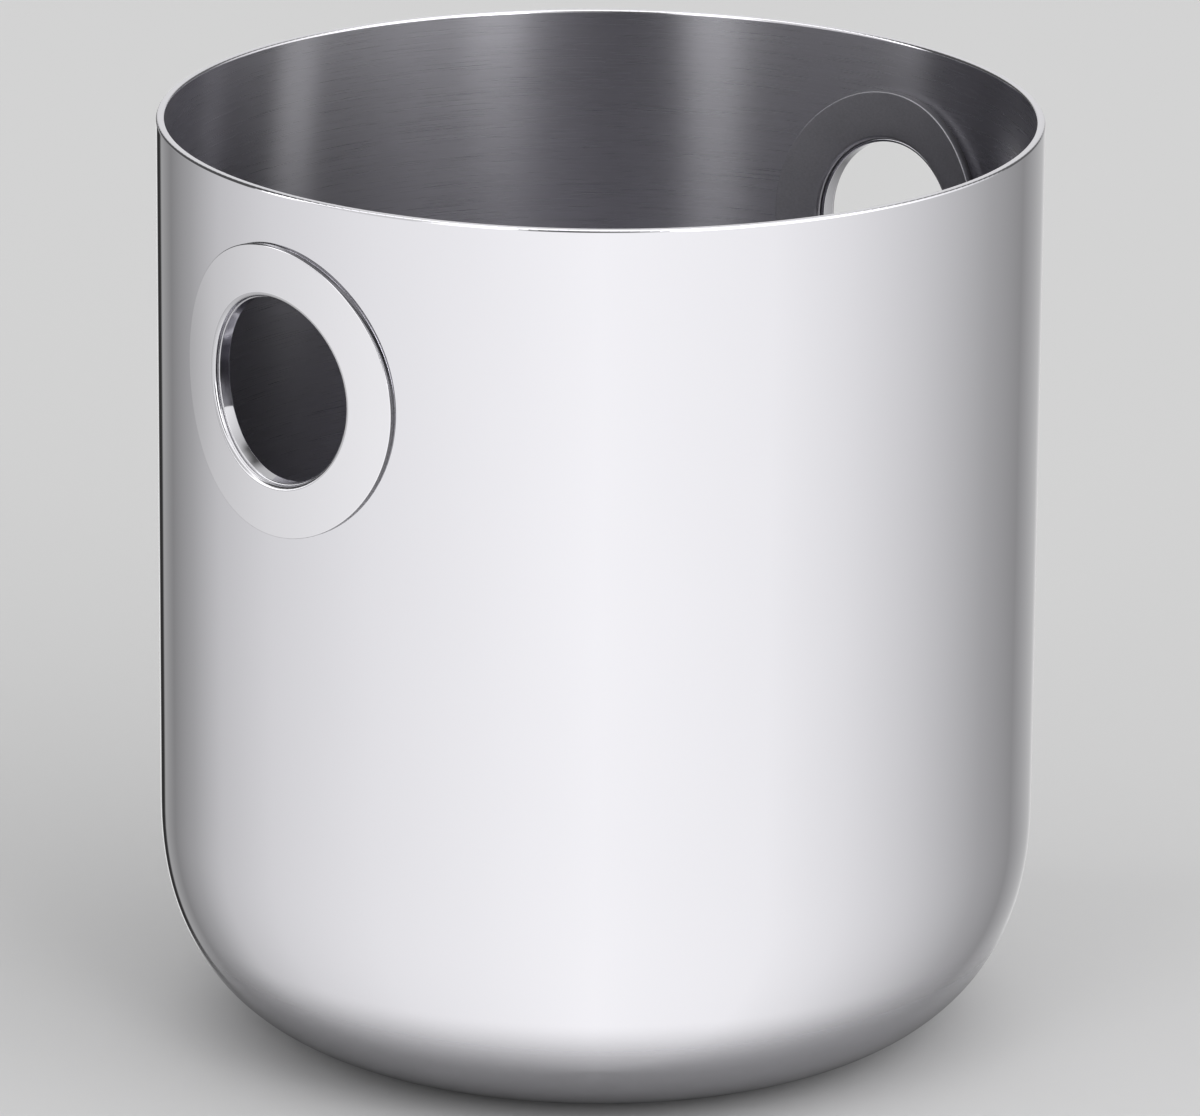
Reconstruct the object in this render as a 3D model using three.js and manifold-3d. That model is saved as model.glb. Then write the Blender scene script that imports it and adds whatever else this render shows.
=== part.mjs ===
// A champagne bucket with a finger ring on each side.
//
// A drawn steel shell stands on a flat base, with a large soft corner between base and wall. Each side of the
// wall has a round finger hole. A polished outer ring and a satin inner ring, both rolled to the wall's curve,
// clamp the wall round the hole, and a polished sleeve joins them and lines the hole.
//
// Millimetres, +Z up, origin at the centre of the base, rings on the X axis.
import * as THREE from 'three';
import { mergeVertices } from 'three/addons/utils/BufferGeometryUtils.js';
import Module from 'manifold-3d';

// Shell.
const SHELL_RADIUS = 102.5;
const SHELL_HEIGHT = 219;
const WALL = 2;
const RIM_ROUND = 0.6;
const CORNER_WIDTH = 50;
const CORNER_HEIGHT = 55;
const CORNER_FULLNESS = 2.35; // 2 is an ellipse, more is squarer
const CORNER_STEPS = 10;
const ROUND_STEPS = 2;
const SHELL_SEGMENTS = 72;

// Finger rings, measured along the wall's curve from the middle of the hole.
const HOLE_HEIGHT = 173;
const RING_RADIUS = 33.8;
const BORE_RADIUS = 21.6;
const SLEEVE_WALL = 0.6;
const OUTER_PROUD = 1.4;
const INNER_PROUD = 2.2;
const OUTER_EDGE_ROUND = 0.3;
const INNER_EDGE_ROUND = 0.8;
const OUTER_MOUTH_ROUND = 0.3;
const INNER_MOUTH_ROUND = 1;
const SLEEVE_RECESS = 0.9; // from each ring's face to the sleeve's end
const RING_SEGMENTS = 48;
const RING_BANDS = 3;

const FIT_GAP = 0.3; // between pieces that touch
const CUTTER_REACH = 6; // how far the hole cutter passes each face of the wall

const SLEEVE_RADIUS = BORE_RADIUS + SLEEVE_WALL;
const HOLE_RADIUS = SLEEVE_RADIUS + FIT_GAP;
const INNER_WALL = SHELL_RADIUS - WALL;
const OUTER_FACE = SHELL_RADIUS + OUTER_PROUD;
const INNER_FACE = INNER_WALL - INNER_PROUD;

const wasm = await Module();
wasm.setup();

/** A metal's material: its colour, its roughness from 0 to 1, and its name. */
function metal(name, colour, roughness) {
  const material = new THREE.MeshStandardMaterial({ color: colour, roughness, metalness: 1 });
  material.name = name;
  return material;
}

/** Points along a quarter turn of a given radius about (x, y), from one angle to another in quarter turns. */
function quarterRound(x, y, radius, startQuarter, endQuarter) {
  const points = [];
  for (let i = 0; i <= ROUND_STEPS; i += 1) {
    const angle = (startQuarter + ((endQuarter - startQuarter) * i) / ROUND_STEPS) * (Math.PI / 2);
    points.push(new THREE.Vector2(x + radius * Math.cos(angle), y + radius * Math.sin(angle)));
  }
  return points;
}

/** A point of the shell's lower corner at a share of its turn (0 at the wall, 1 at the base), set inwards by depth. */
function cornerPoint(share, depth) {
  const angle = (share * Math.PI) / 2;
  const across = Math.cos(angle) ** (2 / CORNER_FULLNESS);
  const down = Math.sin(angle) ** (2 / CORNER_FULLNESS);
  const outward = new THREE.Vector2(
    across ** (CORNER_FULLNESS - 1) / CORNER_WIDTH,
    -(down ** (CORNER_FULLNESS - 1)) / CORNER_HEIGHT,
  ).normalize();
  return new THREE.Vector2(
    SHELL_RADIUS - CORNER_WIDTH + CORNER_WIDTH * across - depth * outward.x,
    CORNER_HEIGHT - CORNER_HEIGHT * down - depth * outward.y,
  );
}

/** The corner from the wall down to the base, set inwards by depth. */
function cornerCurve(depth) {
  const points = [];
  for (let i = 0; i <= CORNER_STEPS; i += 1) {
    points.push(cornerPoint(i / CORNER_STEPS, depth));
  }
  return points;
}

/** The shell's section: up the outside from the base's centre, over the rim, and down the inside. */
function shellSection() {
  const rimCentre = SHELL_HEIGHT - RIM_ROUND;
  return [
    new THREE.Vector2(0, 0),
    ...cornerCurve(0).reverse(),
    ...quarterRound(SHELL_RADIUS - RIM_ROUND, rimCentre, RIM_ROUND, 0, 1),
    ...quarterRound(INNER_WALL + RIM_ROUND, rimCentre, RIM_ROUND, 1, 2),
    ...cornerCurve(WALL),
    new THREE.Vector2(0, WALL),
  ];
}

/** The geometry of position-only triangles with shared corners merged and empty triangles left out. */
function weld(geometry) {
  const bare = geometry.clone();
  bare.deleteAttribute('normal');
  bare.deleteAttribute('uv');
  const merged = mergeVertices(bare, 1e-4);
  const corners = merged.index.array;
  const kept = [];
  for (let i = 0; i < corners.length; i += 3) {
    const [a, b, c] = [corners[i], corners[i + 1], corners[i + 2]];
    if (a !== b && b !== c && c !== a) {
      kept.push(a, b, c);
    }
  }
  merged.setIndex(kept);
  return merged;
}

/** A closed geometry as a solid that can be cut. */
function solidFrom(geometry) {
  const welded = weld(geometry);
  return new wasm.Manifold(
    new wasm.Mesh({
      numProp: 3,
      vertProperties: new Float32Array(welded.attributes.position.array),
      triVerts: new Uint32Array(welded.index.array),
    }),
  );
}

/** A solid's triangles as a geometry with smooth normals. */
function geometryFrom(solid) {
  const mesh = solid.getMesh();
  const positions = new Float32Array(mesh.numVert * 3);
  for (let i = 0; i < mesh.numVert; i += 1) {
    const start = i * mesh.numProp;
    positions.set(mesh.vertProperties.subarray(start, start + 3), i * 3);
  }
  const geometry = new THREE.BufferGeometry();
  geometry.setAttribute('position', new THREE.BufferAttribute(positions, 3));
  geometry.setIndex(new THREE.BufferAttribute(new Uint32Array(mesh.triVerts), 1));
  geometry.computeVertexNormals();
  return geometry;
}

/**
 * Rolls a piece turned about the Y axis to the wall at +X. A point's Y is its distance from the bucket's axis,
 * its X becomes a length along the curve at that distance, and its Z is kept and raised to the hole's height.
 */
function rollToWall(turned) {
  const rolled = weld(turned);
  const position = rolled.attributes.position;
  for (let i = 0; i < position.count; i += 1) {
    const radius = position.getY(i);
    const angle = -position.getX(i) / radius;
    const height = position.getZ(i) + HOLE_HEIGHT;
    position.setXYZ(i, radius * Math.cos(angle), radius * Math.sin(angle), height);
  }
  rolled.computeVertexNormals();
  return rolled;
}

/** Points on a straight line between two radii at one distance from the bucket's axis, ends left out. */
function faceBands(fromRadius, toRadius, distance) {
  const points = [];
  for (let i = 1; i < RING_BANDS; i += 1) {
    points.push(new THREE.Vector2(fromRadius + ((toRadius - fromRadius) * i) / RING_BANDS, distance));
  }
  return points;
}

/** A closed ring section becomes a ring rolled to the wall. */
function rolledRing(section) {
  return rollToWall(new THREE.LatheGeometry([...section, section[0].clone()], RING_SEGMENTS));
}

/** The polished ring outside: its back lies on the wall, and both edges of its face are rounded. */
function outerRing() {
  const back = SHELL_RADIUS + FIT_GAP;
  return rolledRing([
    new THREE.Vector2(HOLE_RADIUS, back),
    ...faceBands(HOLE_RADIUS, RING_RADIUS, back),
    new THREE.Vector2(RING_RADIUS, back),
    ...quarterRound(RING_RADIUS - OUTER_EDGE_ROUND, OUTER_FACE - OUTER_EDGE_ROUND, OUTER_EDGE_ROUND, 0, 1),
    ...faceBands(RING_RADIUS, HOLE_RADIUS, OUTER_FACE),
    ...quarterRound(HOLE_RADIUS + OUTER_MOUTH_ROUND, OUTER_FACE - OUTER_MOUTH_ROUND, OUTER_MOUTH_ROUND, 1, 2),
  ]);
}

/** The satin ring inside: thicker, with a softer outer edge. */
function innerRing() {
  const back = INNER_WALL - FIT_GAP;
  return rolledRing([
    new THREE.Vector2(RING_RADIUS, back),
    ...faceBands(RING_RADIUS, HOLE_RADIUS, back),
    new THREE.Vector2(HOLE_RADIUS, back),
    ...quarterRound(HOLE_RADIUS + INNER_MOUTH_ROUND, INNER_FACE + INNER_MOUTH_ROUND, INNER_MOUTH_ROUND, 2, 3),
    ...faceBands(HOLE_RADIUS, RING_RADIUS, INNER_FACE),
    ...quarterRound(RING_RADIUS - INNER_EDGE_ROUND, INNER_FACE + INNER_EDGE_ROUND, INNER_EDGE_ROUND, 3, 4),
  ]);
}

/** The sleeve that lines the hole, ending just inside the rounded mouths of the two rings. */
function boreSleeve() {
  const outerEnd = OUTER_FACE - SLEEVE_RECESS;
  const innerEnd = INNER_FACE + SLEEVE_RECESS;
  return rolledRing([
    new THREE.Vector2(BORE_RADIUS, innerEnd),
    new THREE.Vector2(SLEEVE_RADIUS, innerEnd),
    new THREE.Vector2(SLEEVE_RADIUS, outerEnd),
    new THREE.Vector2(BORE_RADIUS, outerEnd),
  ]);
}

/** A plug that cuts the finger hole through the wall at +X. */
function holeCutter() {
  const section = [
    new THREE.Vector2(0, INNER_WALL - CUTTER_REACH),
    new THREE.Vector2(HOLE_RADIUS, INNER_WALL - CUTTER_REACH),
    new THREE.Vector2(HOLE_RADIUS, SHELL_RADIUS + CUTTER_REACH),
    new THREE.Vector2(0, SHELL_RADIUS + CUTTER_REACH),
  ];
  return rollToWall(new THREE.LatheGeometry(section, RING_SEGMENTS));
}

/** The drawn shell with both finger holes cut. */
function bucketShell() {
  const turned = new THREE.LatheGeometry(shellSection(), SHELL_SEGMENTS).rotateX(Math.PI / 2);
  const cutter = solidFrom(holeCutter());
  return geometryFrom(solidFrom(turned).subtract(cutter).subtract(cutter.rotate([0, 0, 180])));
}

/** A named mesh of one piece. */
function piece(name, geometry, material) {
  const mesh = new THREE.Mesh(geometry, material);
  mesh.name = name;
  return mesh;
}

/** One side's handle: outer ring, sleeve and inner ring, turned to its side of the wall. */
function fingerRing(side, turn) {
  const handle = new THREE.Group();
  handle.add(piece(`outer_ring_${side}`, outerRing(), metal('polished ring', 0xe2e2e5, 0.05)));
  handle.add(piece(`bore_sleeve_${side}`, boreSleeve(), metal('polished sleeve', 0xd2d2d6, 0.08)));
  handle.add(piece(`inner_ring_${side}`, innerRing(), metal('satin ring', 0x8c8c90, 0.42)));
  handle.rotation.z = turn;
  return handle;
}

const bucket = new THREE.Group();
bucket.add(piece('bucket_shell', bucketShell(), metal('polished shell', 0xdedee1, 0.05)));
bucket.add(fingerRing('right', 0));
bucket.add(fingerRing('left', Math.PI));

export default bucket;
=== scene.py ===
"""A champagne bucket with a finger ring on each side, on a pale floor in soft light.

The shell is polished outside and brushed inside. Each finger hole has a polished ring outside, a
satin ring inside and a polished sleeve through the wall. Metres, +Z up, origin at the centre of the
base, rings on the X axis.
"""
import logging
import math
from dataclasses import dataclass
from enum import Enum
from typing import Callable, Sequence

import bmesh
import bpy
from mathutils import Matrix, Vector


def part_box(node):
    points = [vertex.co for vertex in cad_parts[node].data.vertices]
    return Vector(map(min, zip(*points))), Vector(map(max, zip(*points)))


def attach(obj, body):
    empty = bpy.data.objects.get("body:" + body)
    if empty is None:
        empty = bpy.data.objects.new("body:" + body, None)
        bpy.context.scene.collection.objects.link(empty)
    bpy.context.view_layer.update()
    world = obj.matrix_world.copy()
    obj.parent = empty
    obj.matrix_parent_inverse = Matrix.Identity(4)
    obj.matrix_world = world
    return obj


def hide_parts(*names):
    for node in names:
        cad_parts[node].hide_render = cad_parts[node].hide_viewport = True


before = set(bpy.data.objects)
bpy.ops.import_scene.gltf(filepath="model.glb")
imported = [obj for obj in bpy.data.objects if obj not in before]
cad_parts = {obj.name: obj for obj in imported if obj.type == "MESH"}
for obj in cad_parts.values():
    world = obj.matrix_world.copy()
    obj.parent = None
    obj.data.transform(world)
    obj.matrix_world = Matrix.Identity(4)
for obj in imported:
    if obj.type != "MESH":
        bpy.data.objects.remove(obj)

LOG = logging.getLogger("bucket")
BODY = "root"
MILLIMETRE = 0.001
SAME_PLACE = 1e-6
Colour = tuple[float, float, float]
Point = tuple[float, float, float]
Span = tuple[float, float]

# What noise mostly lies between, and how strongly each octave counts beside the one before.
NOISE_SPAN: Span = (0.3, 0.7)
NOISE_ROUGHNESS = 0.6

# The sockets of a colour mix, which share their names with the node's other kinds of mix.
MIX_FACTOR = 0
MIX_FIRST = 6
MIX_SECOND = 7
MIX_RESULT = 2

# A bevel with a circular section.
CIRCULAR_PROFILE = 0.5

# The material numbers of a washer's outer edge, which takes painted shade, and of its mouth, which takes it
# on the polished ring, and how squarely a face of the edge looks outwards.
EDGE_SHADE_SLOT = 1
MOUTH_SLOT = 2
EDGE_FACING = 0.8

# Where a glow ramp holds the camera's own bearing, and the degrees that fill the ramp.
AHEAD = 0.5
FULL_CIRCLE = 360


class Side(Enum):
    """The side of the bucket that a handle is on, with its turn about the bucket's axis."""

    RIGHT = ("right", 0.0)
    LEFT = ("left", math.pi)

    @property
    def label(self) -> str:
        """The side's word in node names."""
        return self.value[0]

    @property
    def turn(self) -> Matrix:
        """The turn that carries a piece made at +X to this side."""
        return Matrix.Rotation(self.value[1], 4, "Z")


# --------------------------------------------------------------------------------------------------
# Materials
# --------------------------------------------------------------------------------------------------


class NodeTree:
    """A short way to add and join nodes in one tree."""

    def __init__(self, tree: bpy.types.NodeTree) -> None:
        """Empties the tree.

        Args:
            tree: The node tree to build in.
        """
        self.tree = tree
        self.tree.nodes.clear()

    def add(self, kind: str, **settings: object) -> bpy.types.Node:
        """Adds a node.

        Args:
            kind: The node's type name.
            settings: Node properties by name, and input values by the input's name, with
                underscores for spaces.

        Returns:
            The new node.
        """
        node = self.tree.nodes.new(kind)
        for name, value in settings.items():
            if hasattr(node, name):
                setattr(node, name, value)
            else:
                node.inputs[name.replace("_", " ")].default_value = value
        return node

    def join(self, source: bpy.types.NodeSocket, target: bpy.types.NodeSocket) -> None:
        """Links an output to an input."""
        self.tree.links.new(source, target)

    def math(self, operation: str, *values: object) -> bpy.types.NodeSocket:
        """Adds a maths node.

        Args:
            operation: The operation's name.
            values: Numbers or output sockets, in order.

        Returns:
            The result's socket.
        """
        node = self.add("ShaderNodeMath", operation=operation)
        for socket, value in zip(node.inputs, values):
            if isinstance(value, bpy.types.NodeSocket):
                self.join(value, socket)
            else:
                socket.default_value = value
        return node.outputs[0]

    def stretched_noise(
        self, place: bpy.types.NodeSocket, scale: Point, detail: float
    ) -> bpy.types.NodeSocket:
        """Adds noise with its own scale along each axis.

        Args:
            place: The coordinates to read.
            scale: Features per metre along X, Y and Z.
            detail: Octaves of finer noise.

        Returns:
            The noise's value, about 0 to 1.
        """
        mapping = self.add("ShaderNodeMapping", vector_type="POINT")
        mapping.inputs["Scale"].default_value = scale
        noise = self.add("ShaderNodeTexNoise", Scale=1.0, Detail=detail, Roughness=NOISE_ROUGHNESS)
        self.join(place, mapping.inputs["Vector"])
        self.join(mapping.outputs["Vector"], noise.inputs["Vector"])
        return noise.outputs["Fac"]

    def spread(self, value: bpy.types.NodeSocket, low: float, high: float) -> bpy.types.NodeSocket:
        """Maps the span that noise mostly lies in to a range.

        Args:
            value: The noise.
            low: What the low end of the span becomes.
            high: What the high end becomes.

        Returns:
            The mapped value.
        """
        least, most = NOISE_SPAN
        mapped = self.add("ShaderNodeMapRange", From_Min=least, From_Max=most, To_Min=low, To_Max=high)
        self.join(value, mapped.inputs["Value"])
        return mapped.outputs["Result"]

    def tint(self, colour: Colour, value: bpy.types.NodeSocket) -> bpy.types.NodeSocket:
        """Multiplies a colour by a value.

        Args:
            colour: The linear colour.
            value: The multiplier.

        Returns:
            The colour's socket.
        """
        scale = self.add("ShaderNodeVectorMath", operation="SCALE")
        scale.inputs[0].default_value = colour
        self.join(value, scale.inputs["Scale"])
        return scale.outputs["Vector"]


def new_metal(name: str) -> tuple[bpy.types.Material, NodeTree, bpy.types.Node, bpy.types.NodeSocket]:
    """Starts a metal with its shader joined to its output.

    Args:
        name: The material's name.

    Returns:
        The material, its tree, its shader and the object coordinates.
    """
    material = bpy.data.materials.new(name)
    material.use_nodes = True
    nodes = NodeTree(material.node_tree)
    output = nodes.add("ShaderNodeOutputMaterial")
    shader = nodes.add("ShaderNodeBsdfPrincipled", Metallic=1.0)
    nodes.join(shader.outputs["BSDF"], output.inputs["Surface"])
    place = nodes.add("ShaderNodeTexCoord").outputs["Object"]
    return material, nodes, shader, place


@dataclass(frozen=True)
class PolishedSteel:
    """Mirror-polished steel with faint polishing haze and the slightest waviness."""

    name: str
    colour: Colour
    roughness: float
    haze: float = 0.025
    wave_depth: float = 0.004 * MILLIMETRE
    wave_scale: Point = (22.0, 22.0, 16.0)
    cloud_scale: Point = (14.0, 14.0, 9.0)
    cloud_shade: Span = (1.0, 0.985)
    wipe_scale: Point = (60.0, 60.0, 900.0)
    wipe_haze: Span = (0.8, 1.2)

    def material(self) -> bpy.types.Material:
        """Builds the material."""
        material, nodes, shader, place = new_metal(self.name)
        cloud = nodes.stretched_noise(place, self.cloud_scale, detail=3.0)
        wipe = nodes.stretched_noise(place, self.wipe_scale, detail=4.0)
        mixed = nodes.math("MULTIPLY", cloud, nodes.spread(wipe, *self.wipe_haze))
        rough = nodes.spread(mixed, self.roughness, self.roughness + self.haze)
        nodes.join(rough, shader.inputs["Roughness"])
        shade = nodes.spread(cloud, *self.cloud_shade)
        nodes.join(nodes.tint(self.colour, shade), shader.inputs["Base Color"])
        wave = nodes.stretched_noise(place, self.wave_scale, detail=1.0)
        bump = nodes.add("ShaderNodeBump", Strength=1.0, Distance=self.wave_depth)
        nodes.join(wave, bump.inputs["Height"])
        nodes.join(bump.outputs["Normal"], shader.inputs["Normal"])
        return material


@dataclass(frozen=True)
class BrushedSteel:
    """Steel brushed round the bucket's axis.

    Its fine broken lines run level round the wall and in rings on the base.
    """

    name: str
    colour: Colour
    roughness: float
    stretch: float
    stretch_turn: float = 0.25
    roughness_swing: float = 0.01
    line_depth: float = 0.006 * MILLIMETRE
    line_strength: float = 0.03
    line_shade: Span = (0.95, 1.05)
    fine_scale: Point = (40.0, 40.0, 5200.0)
    fine_share: float = 0.75
    coarse_scale: Point = (14.0, 14.0, 1700.0)
    coarse_share: float = 0.25
    cloud_scale: Point = (18.0, 18.0, 18.0)
    cloud_shade: Span = (0.98, 1.02)

    def material(self) -> bpy.types.Material:
        """Builds the material."""
        material, nodes, shader, place = new_metal(self.name)
        shader.inputs["Anisotropic"].default_value = self.stretch
        shader.inputs["Anisotropic Rotation"].default_value = self.stretch_turn
        tangent = nodes.add("ShaderNodeTangent", direction_type="RADIAL", axis="Z")
        nodes.join(tangent.outputs["Tangent"], shader.inputs["Tangent"])
        across = self.across_brushing(nodes, place)
        fine = nodes.stretched_noise(across, self.fine_scale, detail=2.0)
        coarse = nodes.stretched_noise(across, self.coarse_scale, detail=2.0)
        cloud = nodes.stretched_noise(place, self.cloud_scale, detail=2.0)
        fine_part = nodes.math("MULTIPLY", fine, self.fine_share)
        coarse_part = nodes.math("MULTIPLY", coarse, self.coarse_share)
        lines = nodes.math("ADD", fine_part, coarse_part)
        line_tone = nodes.spread(lines, *self.line_shade)
        cloud_tone = nodes.spread(cloud, *self.cloud_shade)
        shade = nodes.math("MULTIPLY", line_tone, cloud_tone)
        nodes.join(nodes.tint(self.colour, shade), shader.inputs["Base Color"])
        swing = self.roughness_swing
        rough = nodes.spread(fine, self.roughness - swing, self.roughness + swing)
        nodes.join(rough, shader.inputs["Roughness"])
        bump = nodes.add("ShaderNodeBump", Strength=self.line_strength, Distance=self.line_depth)
        nodes.join(lines, bump.inputs["Height"])
        nodes.join(bump.outputs["Normal"], shader.inputs["Normal"])
        return material

    @staticmethod
    def across_brushing(nodes: NodeTree, place: bpy.types.NodeSocket) -> bpy.types.NodeSocket:
        """Coordinates whose Z grows across the brushing: up the wall and outwards on the base.

        Args:
            nodes: The material's tree.
            place: The object coordinates.

        Returns:
            The coordinates.
        """
        parts = nodes.add("ShaderNodeSeparateXYZ")
        nodes.join(place, parts.inputs["Vector"])
        x, y, z = parts.outputs
        squared = nodes.math("ADD", nodes.math("MULTIPLY", x, x), nodes.math("MULTIPLY", y, y))
        across = nodes.math("SUBTRACT", z, nodes.math("SQRT", squared))
        joined = nodes.add("ShaderNodeCombineXYZ")
        for source, target in zip((x, y, across), joined.inputs):
            nodes.join(source, target)
        return joined.outputs["Vector"]


@dataclass(frozen=True)
class SatinSteel:
    """Steel with an even satin finish: fine grain and slow changes of tone."""

    name: str
    colour: Colour
    roughness: float
    roughness_swing: float = 0.04
    grain_depth: float = 0.006 * MILLIMETRE
    grain_strength: float = 0.5
    grain_scale: Point = (1500.0, 1500.0, 2600.0)
    grain_shade: Span = (0.9, 1.08)
    cloud_scale: Point = (35.0, 35.0, 35.0)
    cloud_shade: Span = (0.95, 1.04)

    def material(self) -> bpy.types.Material:
        """Builds the material."""
        material, nodes, shader, place = new_metal(self.name)
        grain = nodes.stretched_noise(place, self.grain_scale, detail=3.0)
        cloud = nodes.stretched_noise(place, self.cloud_scale, detail=2.0)
        grain_tone = nodes.spread(grain, *self.grain_shade)
        cloud_tone = nodes.spread(cloud, *self.cloud_shade)
        shade = nodes.math("MULTIPLY", grain_tone, cloud_tone)
        nodes.join(nodes.tint(self.colour, shade), shader.inputs["Base Color"])
        swing = self.roughness_swing
        rough = nodes.spread(grain, self.roughness - swing, self.roughness + swing)
        nodes.join(rough, shader.inputs["Roughness"])
        bump = nodes.add("ShaderNodeBump", Strength=self.grain_strength, Distance=self.grain_depth)
        nodes.join(grain, bump.inputs["Height"])
        nodes.join(bump.outputs["Normal"], shader.inputs["Normal"])
        return material


Finish = PolishedSteel | BrushedSteel | SatinSteel

SHELL_POLISH = PolishedSteel("polished_shell", (0.87, 0.862, 0.9), 0.015)
RING_POLISH = PolishedSteel("polished_ring", (0.92, 0.912, 0.945), 0.02)
SLEEVE_POLISH = PolishedSteel("polished_sleeve", (0.6, 0.597, 0.62), 0.06)
INSIDE_BRUSH = BrushedSteel("brushed_inside", (0.52, 0.513, 0.548), 0.28, 0.85)
# Painted shade on the polished ring's mouth: a darker copy of the polish, which dims its reflection.
RING_MOUTH_SHADE = PolishedSteel("painted_shade_mouth", (0.66, 0.655, 0.68), 0.14)
# Painted shade on the polished ring's outer edge: a near-black copy of the polish, standing in for the
# shadowed seam against the wall.
RING_EDGE_SHADE = PolishedSteel("painted_shade_edge", (0.16, 0.158, 0.168), 0.25)
# Painted shade on the satin ring's outer edge: a near-black copy of the satin, which keeps the edge and its
# reflection in the wall dark.
INNER_EDGE_SHADE = SatinSteel("painted_shade_satin_edge", (0.16, 0.158, 0.168), 0.4)
INNER_SATIN = SatinSteel("satin_ring", (0.44, 0.436, 0.462), 0.42)


# --------------------------------------------------------------------------------------------------
# Mesh tools
# --------------------------------------------------------------------------------------------------


def outline(mesh: bmesh.types.BMesh, points: Sequence[Point], closed: bool) -> list[bmesh.types.BMEdge]:
    """Draws a chain of edges.

    Args:
        mesh: The mesh to draw in.
        points: The chain's corners.
        closed: Whether the last point joins the first.

    Returns:
        The edges.
    """
    corners = [mesh.verts.new(point) for point in points]
    ends = corners[1:] + corners[:1] if closed else corners[1:]
    return [mesh.edges.new(pair) for pair in zip(corners, ends)]


def turn_full(mesh: bmesh.types.BMesh, edges: list[bmesh.types.BMEdge], axis: Point, steps: int) -> None:
    """Spins an outline once round an axis through the origin and closes its poles.

    Args:
        mesh: The mesh that holds the outline.
        edges: The outline.
        axis: The direction of the axis.
        steps: How many steps make the full turn.
    """
    corners = list({corner for edge in edges for corner in edge.verts})
    bmesh.ops.spin(
        mesh,
        geom=corners + edges,
        cent=(0.0, 0.0, 0.0),
        axis=axis,
        dvec=(0.0, 0.0, 0.0),
        angle=math.tau,
        steps=steps,
        use_merge=True,
    )
    bmesh.ops.remove_doubles(mesh, verts=mesh.verts, dist=SAME_PLACE)
    bmesh.ops.dissolve_degenerate(mesh, edges=mesh.edges, dist=SAME_PLACE)
    bmesh.ops.recalc_face_normals(mesh, faces=mesh.faces)


def round_edges(
    mesh: bmesh.types.BMesh, picked: Callable[[Vector], bool], radius: float, segments: int
) -> None:
    """Rounds the edges whose two ends are both picked.

    Args:
        mesh: The mesh to work on.
        picked: Says whether a corner lies on an edge to round.
        radius: The radius of the round.
        segments: The faces across the round.
    """
    edges = [edge for edge in mesh.edges if all(picked(corner.co) for corner in edge.verts)]
    bmesh.ops.bevel(
        mesh,
        geom=edges,
        offset=radius,
        offset_type="OFFSET",
        segments=segments,
        profile=CIRCULAR_PROFILE,
        affect="EDGES",
        clamp_overlap=True,
        material=-1,
    )


def as_object(mesh: bmesh.types.BMesh, name: str, finishes: Sequence[Finish]) -> bpy.types.Object:
    """Turns a finished mesh into a smooth object with its materials.

    Args:
        mesh: The mesh, which is freed.
        name: The object's name.
        finishes: One finish for each material number on the faces.

    Returns:
        The object.
    """
    for face in mesh.faces:
        face.smooth = True
    data = bpy.data.meshes.new(name)
    mesh.to_mesh(data)
    mesh.free()
    for finish in finishes:
        data.materials.append(finish_material(finish))
    made = bpy.data.objects.new(name, data)
    bpy.context.collection.objects.link(made)
    return made


def finish_material(finish: Finish) -> bpy.types.Material:
    """The finish's material, built once."""
    return bpy.data.materials.get(finish.name) or finish.material()


def place_piece(made: bpy.types.Object, node: str) -> None:
    """Rides a piece on the bucket's body, in place of its CAD node.

    Args:
        made: The finished piece.
        node: The CAD node that it stands for.
    """
    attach(made, BODY)
    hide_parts(node)
    LOG.info("%s: %d faces, stands for %s", made.name, len(made.data.polygons), node)


# --------------------------------------------------------------------------------------------------
# The bucket
# --------------------------------------------------------------------------------------------------


@dataclass(frozen=True)
class ShellSize:
    """The drawn shell's sizes: the outside from the frame, and the rest as the maker sets them."""

    radius: float
    height: float
    wall: float = 2.0 * MILLIMETRE
    rim_round: float = 0.6 * MILLIMETRE
    corner_width: float = 50.0 * MILLIMETRE
    corner_height: float = 55.0 * MILLIMETRE
    corner_fullness: float = 2.35

    @classmethod
    def from_frame(cls) -> "ShellSize":
        """Reads the outside radius and height from the CAD shell."""
        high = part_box("bucket_shell")[1]
        return cls(radius=high.y, height=high.z)

    @property
    def inner_radius(self) -> float:
        """The radius of the wall's inside."""
        return self.radius - self.wall


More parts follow.
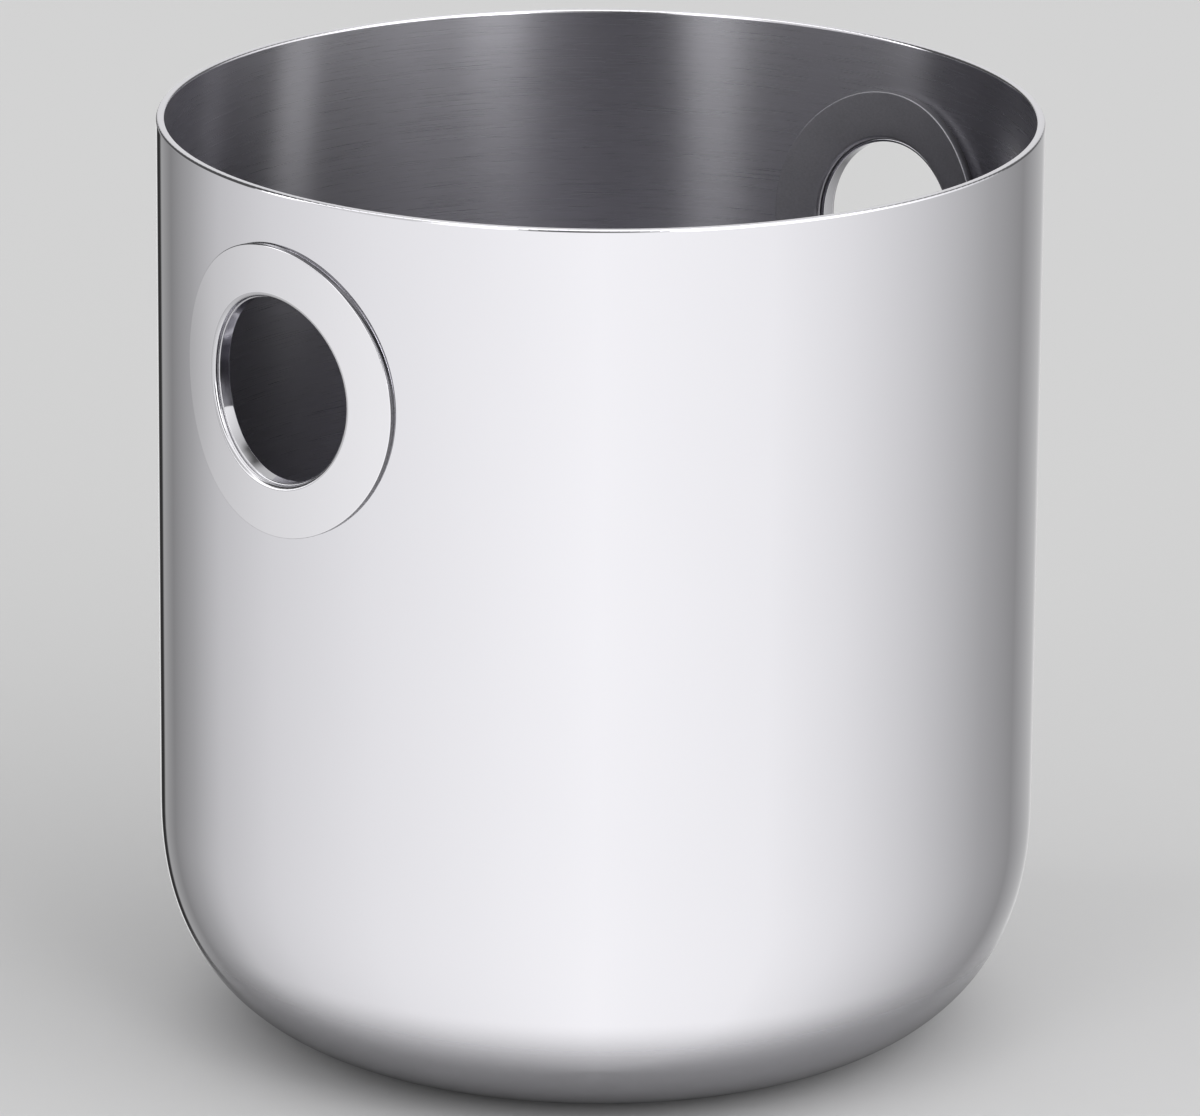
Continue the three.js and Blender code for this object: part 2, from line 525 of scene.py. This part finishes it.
@dataclass(frozen=True)
class HandleSize:
    """What both handles share. Radii are measured along the wall's curve from the middle of the hole."""

    shell: ShellSize
    centre_height: float
    ring_radius: float
    sleeve_radius: float
    outer_face: float
    inner_proud: float = 2.2 * MILLIMETRE
    sleeve_wall: float = 0.85 * MILLIMETRE
    lip_step: float = 0.35 * MILLIMETRE
    inner_recess: float = 0.9 * MILLIMETRE
    seam: float = 0.05 * MILLIMETRE

    @classmethod
    def from_frame(cls, shell: ShellSize) -> "HandleSize":
        """Reads the right handle's sizes from its CAD nodes.

        Args:
            shell: The shell that the handle is fixed to.

        Returns:
            The sizes.
        """
        ring_low, ring_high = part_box("outer_ring_right")
        sleeve_low, sleeve_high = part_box("bore_sleeve_right")
        return cls(
            shell=shell,
            centre_height=(ring_low.z + ring_high.z) / 2,
            ring_radius=(ring_high.z - ring_low.z) / 2,
            sleeve_radius=(sleeve_high.z - sleeve_low.z) / 2,
            outer_face=ring_high.x,
        )

    @property
    def inner_face(self) -> float:
        """The distance from the bucket's axis to the inner ring's face."""
        return self.shell.inner_radius - self.inner_proud

    @property
    def bore_radius(self) -> float:
        """The radius of the finger hole inside the sleeve."""
        return self.sleeve_radius - self.sleeve_wall

    @property
    def outer_hole(self) -> float:
        """The radius of the outer ring's hole, inside which the sleeve's lip shows."""
        return self.bore_radius + self.lip_step

    @property
    def wall_hole(self) -> float:
        """The radius of the holes in the wall and the inner ring, which the sleeve fills."""
        return self.sleeve_radius + self.seam

    def roll_to_wall(self, mesh: bmesh.types.BMesh, side: Side) -> None:
        """Rolls a piece turned about X to the wall's curve, and carries it to its side.

        A corner's X is its distance from the bucket's axis and is kept. Its Y becomes a length
        along the curve.

        Args:
            mesh: The flat piece.
            side: The side that it belongs on.
        """
        for corner in mesh.verts:
            radius, along, up = corner.co
            angle = along / radius
            corner.co = (radius * math.cos(angle), radius * math.sin(angle), up + self.centre_height)
        bmesh.ops.transform(mesh, matrix=side.turn, verts=mesh.verts)


@dataclass
class BucketShell:
    """The shell: one drawn piece with a rounded rim, a soft lower corner and a flat base."""

    size: ShellSize
    handle: HandleSize
    turn_steps: int = 288
    corner_steps: int = 40
    wall_rows: int = 36
    base_rows: int = 8
    hole_steps: int = 192
    rim_steps: int = 6
    rim_soft: float = 0.15 * MILLIMETRE
    cutter_walls: int = 6
    sharp_angle: float = math.radians(35)

    def corner_point(self, share: float, depth: float) -> Point:
        """A point of the lower corner's section.

        Args:
            share: The share of the turn, 0 at the wall and 1 at the base.
            depth: How far inside the outer skin the point lies.

        Returns:
            The point.
        """
        size = self.size
        power = size.corner_fullness
        angle = share * math.pi / 2
        across = max(math.cos(angle), 0.0) ** (2 / power)
        down = math.sin(angle) ** (2 / power)
        outward = Vector(
            (across ** (power - 1) / size.corner_width, -(down ** (power - 1)) / size.corner_height)
        )
        outward.normalize()
        return (
            size.radius - size.corner_width + size.corner_width * across - depth * outward.x,
            0.0,
            size.corner_height - size.corner_height * down - depth * outward.y,
        )

    def skin(self, depth: float) -> list[Point]:
        """One skin's section from the centre of the base up to the rim's edge.

        Args:
            depth: How far inside the outer skin it lies.

        Returns:
            The points.
        """
        steps = self.corner_steps
        corner = [self.corner_point(1 - step / steps, depth) for step in range(steps + 1)]
        base = [(corner[0][0] * row / self.base_rows, 0.0, depth) for row in range(self.base_rows)]
        start = corner[-1][2]
        rise = (self.size.height - start) / self.wall_rows
        heights = [start + rise * row for row in range(1, self.wall_rows + 1)]
        heights.insert(-1, self.size.height - self.size.rim_round - self.rim_soft)
        return base + corner + [(self.size.radius - depth, 0.0, height) for height in heights]

    def body(self) -> bmesh.types.BMesh:
        """Turns both skins, joined over the rim, and rounds the rim's edges."""
        mesh = bmesh.new()
        section = self.skin(0.0) + self.skin(self.size.wall)[::-1]
        turn_full(mesh, outline(mesh, section, closed=False), (0.0, 0.0, 1.0), self.turn_steps)
        top = self.size.height

        def on_rim(place: Vector) -> bool:
            """Says whether a corner lies on the rim."""
            return abs(place.z - top) < SAME_PLACE

        round_edges(mesh, on_rim, self.size.rim_round, self.rim_steps)
        return mesh

    def hole_cutter(self, side: Side) -> bpy.types.Object:
        """A plug that cuts one finger hole through the wall."""
        mesh = bmesh.new()
        reach = self.cutter_walls * self.size.wall
        at_wall = Matrix.Translation((self.size.radius, 0.0, 0.0))
        through = at_wall @ Matrix.Rotation(math.pi / 2, 4, "Y")
        bmesh.ops.create_cone(
            mesh,
            cap_ends=True,
            cap_tris=False,
            segments=self.hole_steps,
            radius1=self.handle.wall_hole,
            radius2=self.handle.wall_hole,
            depth=reach,
            matrix=through,
        )
        self.handle.roll_to_wall(mesh, side)
        return as_object(mesh, f"cutter_{side.label}", [])

    def cut(self, made: bpy.types.Object, cutter: bpy.types.Object) -> None:
        """Cuts a plug out of the shell and throws the plug away.

        Args:
            made: The shell's object.
            cutter: The plug.
        """
        cutting = made.modifiers.new("hole", "BOOLEAN")
        cutting.operation = "DIFFERENCE"
        cutting.solver = "EXACT"
        cutting.object = cutter
        whole = made.data
        shown = made.evaluated_get(bpy.context.evaluated_depsgraph_get())
        made.data = bpy.data.meshes.new_from_object(shown)
        made.modifiers.clear()
        bpy.data.meshes.remove(whole)
        bpy.data.meshes.remove(cutter.data)

    def dress(self, made: bpy.types.Object) -> None:
        """Gives the inside its brushed finish and keeps the holes' edges sharp.

        Args:
            made: The shell's object.
        """
        mesh = bmesh.new()
        mesh.from_mesh(made.data)
        middle = Vector((0.0, 0.0, self.size.height / 2))
        rim = self.size.height - self.size.rim_round
        for face in mesh.faces:
            centre = face.calc_center_median()
            inside = face.normal.dot(centre - middle) < 0 and centre.z < rim
            face.material_index = int(inside)
            face.smooth = True
        for edge in mesh.edges:
            edge.smooth = edge.calc_face_angle(0.0) < self.sharp_angle
        mesh.to_mesh(made.data)
        mesh.free()

    def build(self) -> None:
        """Makes the shell, cuts its holes and puts it in place."""
        made = as_object(self.body(), "shell", [SHELL_POLISH, INSIDE_BRUSH])
        for side in Side:
            self.cut(made, self.hole_cutter(side))
        self.dress(made)
        place_piece(made, "bucket_shell")


@dataclass(frozen=True)
class Washer:
    """A flat washer about X: its distances from the bucket's axis, its radii, and its rounded edges.

    A polished edge runs softly into the face: the soft widths say how far the face's last band reaches.
    """

    back: float
    face: float
    hole: float
    rim: float
    mouth_round: float
    edge_round: float
    mouth_soft: float
    edge_soft: float
    bands: int = 6
    steps: int = 480
    round_steps: int = 12

    def face_rows(self) -> list[float]:
        """Radii from the hole to the rim, with even bands between the two soft ones."""
        first = self.hole + self.mouth_round + self.mouth_soft
        last = self.rim - self.edge_round - self.edge_soft
        step = (last - first) / self.bands
        return [self.hole, *(first + step * band for band in range(self.bands + 1)), self.rim]

    def flat(self) -> bmesh.types.BMesh:
        """Turns the section with square edges."""
        mesh = bmesh.new()
        rows = self.face_rows()
        behind = [(self.back, radius, 0.0) for radius in rows]
        front = [(self.face, radius, 0.0) for radius in reversed(rows)]
        turn_full(mesh, outline(mesh, behind + front, closed=True), (1.0, 0.0, 0.0), self.steps)
        return mesh

    def soften(self, mesh: bmesh.types.BMesh, end: float, radius: float, size: float) -> None:
        """Rounds one circular edge.

        Args:
            mesh: The washer.
            end: The distance from the bucket's axis to the edge.
            radius: The edge's own radius.
            size: The radius of the round.
        """

        def on_edge(place: Vector) -> bool:
            """Says whether a corner lies on the circular edge."""
            off_ring = abs(math.hypot(place.y, place.z) - radius)
            return abs(place.x - end) < SAME_PLACE and off_ring < SAME_PLACE

        round_edges(mesh, on_edge, size, self.round_steps)

    def build(self, both_ends: bool = False) -> bmesh.types.BMesh:
        """Makes the washer with its rounded edges.

        Args:
            both_ends: Whether the back's edges are rounded like the face's.

        Returns:
            The washer's mesh.
        """
        mesh = self.flat()
        for end in (self.face, self.back) if both_ends else (self.face,):
            self.soften(mesh, end, self.hole, self.mouth_round)
            self.soften(mesh, end, self.rim, self.edge_round)
        return mesh

    def part_finishes(self, mesh: bmesh.types.BMesh) -> None:
        """Numbers the faces by material: 0 for the flat faces, 1 for the outer edge, which takes painted
        shade, and 2 for the mouth.

        Args:
            mesh: The washer, before it is rolled to the wall.
        """
        for face in mesh.faces:
            centre = face.calc_center_median()
            outward = Vector((0.0, centre.y, centre.z))
            if outward.length < self.hole + self.mouth_round:
                face.material_index = MOUTH_SLOT
            elif face.normal.dot(outward.normalized()) > EDGE_FACING:
                face.material_index = EDGE_SHADE_SLOT


@dataclass
class FingerHandle:
    """One handle: a polished ring outside, a satin ring inside and a sleeve through the wall."""

    size: HandleSize
    side: Side
    lip_share: float = 0.45
    lip_soft_share: float = 0.1

    def place(
        self, mesh: bmesh.types.BMesh, name: str, slot: str, node: str, finishes: Sequence[Finish]
    ) -> None:
        """Rolls a washer to the wall and puts it in place.

        Args:
            mesh: The flat washer.
            name: The piece's name without its side.
            slot: Not used.
            node: The CAD node's name without its side.
            finishes: One finish for each material number on the faces.
        """
        self.size.roll_to_wall(mesh, self.side)
        made = as_object(mesh, f"{name}_{self.side.label}", finishes)
        place_piece(made, f"{node}_{self.side.label}")

    def outer_ring(self) -> None:
        """Makes the polished ring, with a well rounded mouth and a rounded outer edge, both darker copies
        of the polish that paint shade on them.
        """
        size = self.size
        ring = Washer(
            back=size.shell.radius + size.seam,
            face=size.outer_face,
            hole=size.outer_hole,
            rim=size.ring_radius,
            mouth_round=1.1 * MILLIMETRE,
            edge_round=0.25 * MILLIMETRE,
            mouth_soft=0.3 * MILLIMETRE,
            edge_soft=0.1 * MILLIMETRE,
        )
        mesh = ring.build()
        ring.part_finishes(mesh)
        finishes = [RING_POLISH, RING_EDGE_SHADE, RING_MOUTH_SHADE]
        self.place(mesh, "grip_ring", "outer_ring", "outer_ring", finishes)

    def inner_ring(self) -> None:
        """Makes the satin ring, whose flat face shades softly into its mouth and whose outer edge carries
        painted shade.
        """
        size = self.size
        ring = Washer(
            back=size.shell.inner_radius - size.seam,
            face=size.inner_face,
            hole=size.wall_hole,
            rim=size.ring_radius,
            mouth_round=0.9 * MILLIMETRE,
            edge_round=0.3 * MILLIMETRE,
            mouth_soft=2.4 * MILLIMETRE,
            edge_soft=0.2 * MILLIMETRE,
        )
        mesh = ring.build()
        ring.part_finishes(mesh)
        finishes = [INNER_SATIN, INNER_EDGE_SHADE, INNER_SATIN]
        self.place(mesh, "backing_ring", "inner_ring", "inner_ring", finishes)

    def sleeve(self) -> None:
        """Makes the sleeve, with both lips almost fully rounded."""
        size = self.size
        lip = self.lip_share * size.sleeve_wall
        tube = Washer(
            back=size.inner_face + size.inner_recess,
            face=size.shell.radius - size.seam,
            hole=size.bore_radius,
            rim=size.sleeve_radius,
            mouth_round=lip,
            edge_round=lip,
            mouth_soft=self.lip_soft_share * lip,
            edge_soft=self.lip_soft_share * lip,
            bands=1,
        )
        mesh = tube.build(both_ends=True)
        self.place(mesh, "hole_sleeve", "bore_sleeve", "bore_sleeve", [SLEEVE_POLISH])

    def build(self) -> None:
        """Makes the handle's three pieces."""
        self.outer_ring()
        self.inner_ring()
        self.sleeve()


# --------------------------------------------------------------------------------------------------
# Floor, light and camera
# --------------------------------------------------------------------------------------------------

# Brightness round the compass, as (degrees to the right of the camera's bearing, linear brightness).
LOW_GLOW = (
    (-180, 0.85),
    (-171, 0.85),
    (-169, 0.03),
    (-162, 0.03),
    (-160, 0.36),
    (-148, 0.24),
    (-132, 0.38),
    (-116, 0.58),
    (-94, 0.73),
    (-60, 0.87),
    (0, 1.03),
    (45, 0.96),
    (67, 0.83),
    (90, 0.66),
    (121, 0.4),
    (142, 0.28),
    (165, 0.5),
    (180, 0.85),
)
HIGH_GLOW = (
    (-180, 0.75),
    (-168, 0.7),
    (-156, 0.08),
    (-100, 0.08),
    (-96, 1.0),
    (-92, 2.4),
    (-86, 1.7),
    (-82, 0.8),
    (-76, 0.7),
    (-48, 0.65),
    (-40, 1.6),
    (-25, 1.6),
    (-17, 0.2),
    (-6, 0.08),
    (8, 0.3),
    (18, 0.9),
    (23, 3.3),
    (34, 3.3),
    (39, 1.7),
    (60, 1.8),
    (100, 1.0),
    (116, 0.7),
    (128, 0.12),
    (152, 0.12),
    (165, 0.7),
    (180, 0.75),
)


@dataclass(frozen=True)
class Studio:
    """A pale floor, a tent whose glow changes with bearing, and a camera looking down on the bucket."""

    camera_bearing: float = math.radians(-44.9)
    camera_distance: float = 2.084
    camera_height: float = 0.7554
    camera_pitch: float = math.radians(17.16)
    camera_yaw: float = math.radians(0.016)
    camera_roll: float = math.radians(-0.42)
    lens: float = 279.6
    sensor_width: float = 36.0
    view_reach: float = 100.0
    floor_size: float = 8.0
    floor_tone: float = 0.62
    # Painted shade: the floor's tone as mirrors see it near the bucket, darker than the floor itself.
    mirrored_shade_tone: float = 0.3
    contact_near: float = 0.086
    contact_far: float = 0.124
    overhead: float = 1.4
    backdrop: float = 0.7
    horizon_span: Span = (-0.08, 0.0)
    overhead_span: Span = (0.72, 0.88)

    def camera(self) -> None:
        """Makes the camera."""
        bearing, pitch, roll = self.camera_bearing, self.camera_pitch, self.camera_roll
        turn = Matrix.Rotation(bearing, 4, "Z")
        tilt = Matrix.Rotation(-self.camera_yaw, 4, "Z") @ Matrix.Rotation(math.pi / 2 - pitch, 4, "X")
        lean = Matrix.Rotation(-roll, 4, "Z")
        data = bpy.data.cameras.new("camera")
        data.sensor_width = self.sensor_width
        data.lens = self.lens
        data.clip_end = self.view_reach
        made = bpy.data.objects.new("camera", data)
        bpy.context.collection.objects.link(made)
        place = turn @ Matrix.Translation((0.0, -self.camera_distance, self.camera_height))
        made.matrix_world = place @ tilt @ lean
        bpy.context.scene.camera = made

    def floor(self) -> None:
        """Makes the floor. Near the bucket, mirrors see it in a darker tone, which is painted shade; past
        the contact shadow, mirrors see the tent's glow instead of it.
        """
        mesh = bmesh.new()
        bmesh.ops.create_grid(mesh, x_segments=1, y_segments=1, size=self.floor_size / 2)
        data = bpy.data.meshes.new("floor")
        mesh.to_mesh(data)
        mesh.free()
        material = bpy.data.materials.new("floor")
        material.use_nodes = True
        nodes = NodeTree(material.node_tree)
        output = nodes.add("ShaderNodeOutputMaterial")
        matt = nodes.add("ShaderNodeBsdfDiffuse")
        clear = nodes.add("ShaderNodeBsdfTransparent")
        mixed = nodes.add("ShaderNodeMixShader")
        glossy = nodes.add("ShaderNodeLightPath").outputs["Is Glossy Ray"]
        # Glossy rays get the darker tone: painted shade on the floor in reflections.
        shaded = nodes.add("ShaderNodeMapRange", To_Min=self.floor_tone, To_Max=self.mirrored_shade_tone)
        nodes.join(glossy, shaded.inputs["Value"])
        nodes.join(shaded.outputs["Result"], matt.inputs["Color"])
        reach = nodes.add("ShaderNodeVectorMath", operation="LENGTH")
        nodes.join(nodes.add("ShaderNodeTexCoord").outputs["Object"], reach.inputs[0])
        away = nodes.add(
            "ShaderNodeMapRange",
            interpolation_type="SMOOTHSTEP",
            From_Min=self.contact_near,
            From_Max=self.contact_far,
        )
        nodes.join(reach.outputs["Value"], away.inputs["Value"])
        nodes.join(nodes.math("MULTIPLY", away.outputs["Result"], glossy), mixed.inputs["Fac"])
        nodes.join(matt.outputs["BSDF"], mixed.inputs[1])
        nodes.join(clear.outputs["BSDF"], mixed.inputs[2])
        nodes.join(mixed.outputs["Shader"], output.inputs["Surface"])
        data.materials.append(material)
        made = bpy.data.objects.new("floor", data)
        bpy.context.collection.objects.link(made)

    def glow(
        self, nodes: NodeTree, bearing: bpy.types.NodeSocket, stops: Sequence[tuple[float, float]]
    ) -> bpy.types.NodeSocket:
        """Brightness round the compass.

        Args:
            nodes: The world's tree.
            bearing: The share of a full turn, with the camera's bearing in the middle.
            stops: Bearings in degrees with their brightness.

        Returns:
            The brightness.
        """
        node = nodes.add("ShaderNodeValToRGB")
        ramp = node.color_ramp
        ramp.interpolation = "LINEAR"
        ramp.elements.remove(ramp.elements[-1])
        ramp.elements[0].position = 0.0
        for number, (degrees, brightness) in enumerate(stops):
            place = AHEAD + degrees / FULL_CIRCLE
            stop = ramp.elements[0] if number == 0 else ramp.elements.new(place)
            stop.color = (brightness, brightness, brightness, 1.0)
        nodes.join(bearing, node.inputs["Fac"])
        return node.outputs["Color"]

    def light(self) -> None:
        """Lights the scene from all round, with the glow set by bearing and height."""
        world = bpy.data.worlds.new("tent")
        world.use_nodes = True
        bpy.context.scene.world = world
        nodes = NodeTree(world.node_tree)
        output = nodes.add("ShaderNodeOutputWorld")
        background = nodes.add("ShaderNodeBackground")
        turned = nodes.add("ShaderNodeVectorRotate", rotation_type="Z_AXIS", Angle=-self.camera_bearing)
        direction = nodes.add("ShaderNodeTexCoord").outputs["Generated"]
        nodes.join(direction, turned.inputs["Vector"])
        parts = nodes.add("ShaderNodeSeparateXYZ")
        nodes.join(turned.outputs["Vector"], parts.inputs["Vector"])
        x, y, up = parts.outputs
        angle = nodes.math("ARCTAN2", x, nodes.math("MULTIPLY", y, -1.0))
        bearing = nodes.math("ADD", nodes.math("DIVIDE", angle, math.tau), AHEAD)
        low = self.glow(nodes, bearing, LOW_GLOW)
        high = self.glow(nodes, bearing, HIGH_GLOW)
        below, level = self.horizon_span
        rising = nodes.add("ShaderNodeMapRange", From_Min=below, From_Max=level)
        steep, top = self.overhead_span
        topping = nodes.add(
            "ShaderNodeMapRange", interpolation_type="SMOOTHSTEP", From_Min=steep, From_Max=top
        )
        sides = nodes.add("ShaderNodeMix", data_type="RGBA")
        whole = nodes.add("ShaderNodeMix", data_type="RGBA")
        for node in (rising, topping):
            nodes.join(up, node.inputs["Value"])
        nodes.join(rising.outputs["Result"], sides.inputs[MIX_FACTOR])
        nodes.join(low, sides.inputs[MIX_FIRST])
        nodes.join(high, sides.inputs[MIX_SECOND])
        nodes.join(topping.outputs["Result"], whole.inputs[MIX_FACTOR])
        nodes.join(sides.outputs[MIX_RESULT], whole.inputs[MIX_FIRST])
        whole.inputs[MIX_SECOND].default_value = (self.overhead, self.overhead, self.overhead, 1.0)
        seen = nodes.add("ShaderNodeMix", data_type="RGBA")
        camera_ray = nodes.add("ShaderNodeLightPath").outputs["Is Camera Ray"]
        nodes.join(camera_ray, seen.inputs[MIX_FACTOR])
        nodes.join(whole.outputs[MIX_RESULT], seen.inputs[MIX_FIRST])
        seen.inputs[MIX_SECOND].default_value = (self.backdrop, self.backdrop, self.backdrop, 1.0)
        nodes.join(seen.outputs[MIX_RESULT], background.inputs["Color"])
        nodes.join(background.outputs["Background"], output.inputs["Surface"])

    def build(self) -> None:
        """Sets up the floor, the light, the camera and a neutral view of the tones."""
        self.camera()
        self.floor()
        self.light()
        bpy.context.scene.view_settings.view_transform = "Standard"


def main() -> None:
    """Builds the bucket and its studio, and reports each piece."""
    logging.basicConfig(level=logging.INFO, format="%(name)s: %(message)s")
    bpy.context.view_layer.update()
    shell = ShellSize.from_frame()
    handle = HandleSize.from_frame(shell)
    Studio().build()
    BucketShell(shell, handle).build()
    for side in Side:
        FingerHandle(handle, side).build()


if __name__ == "__main__":
    main()
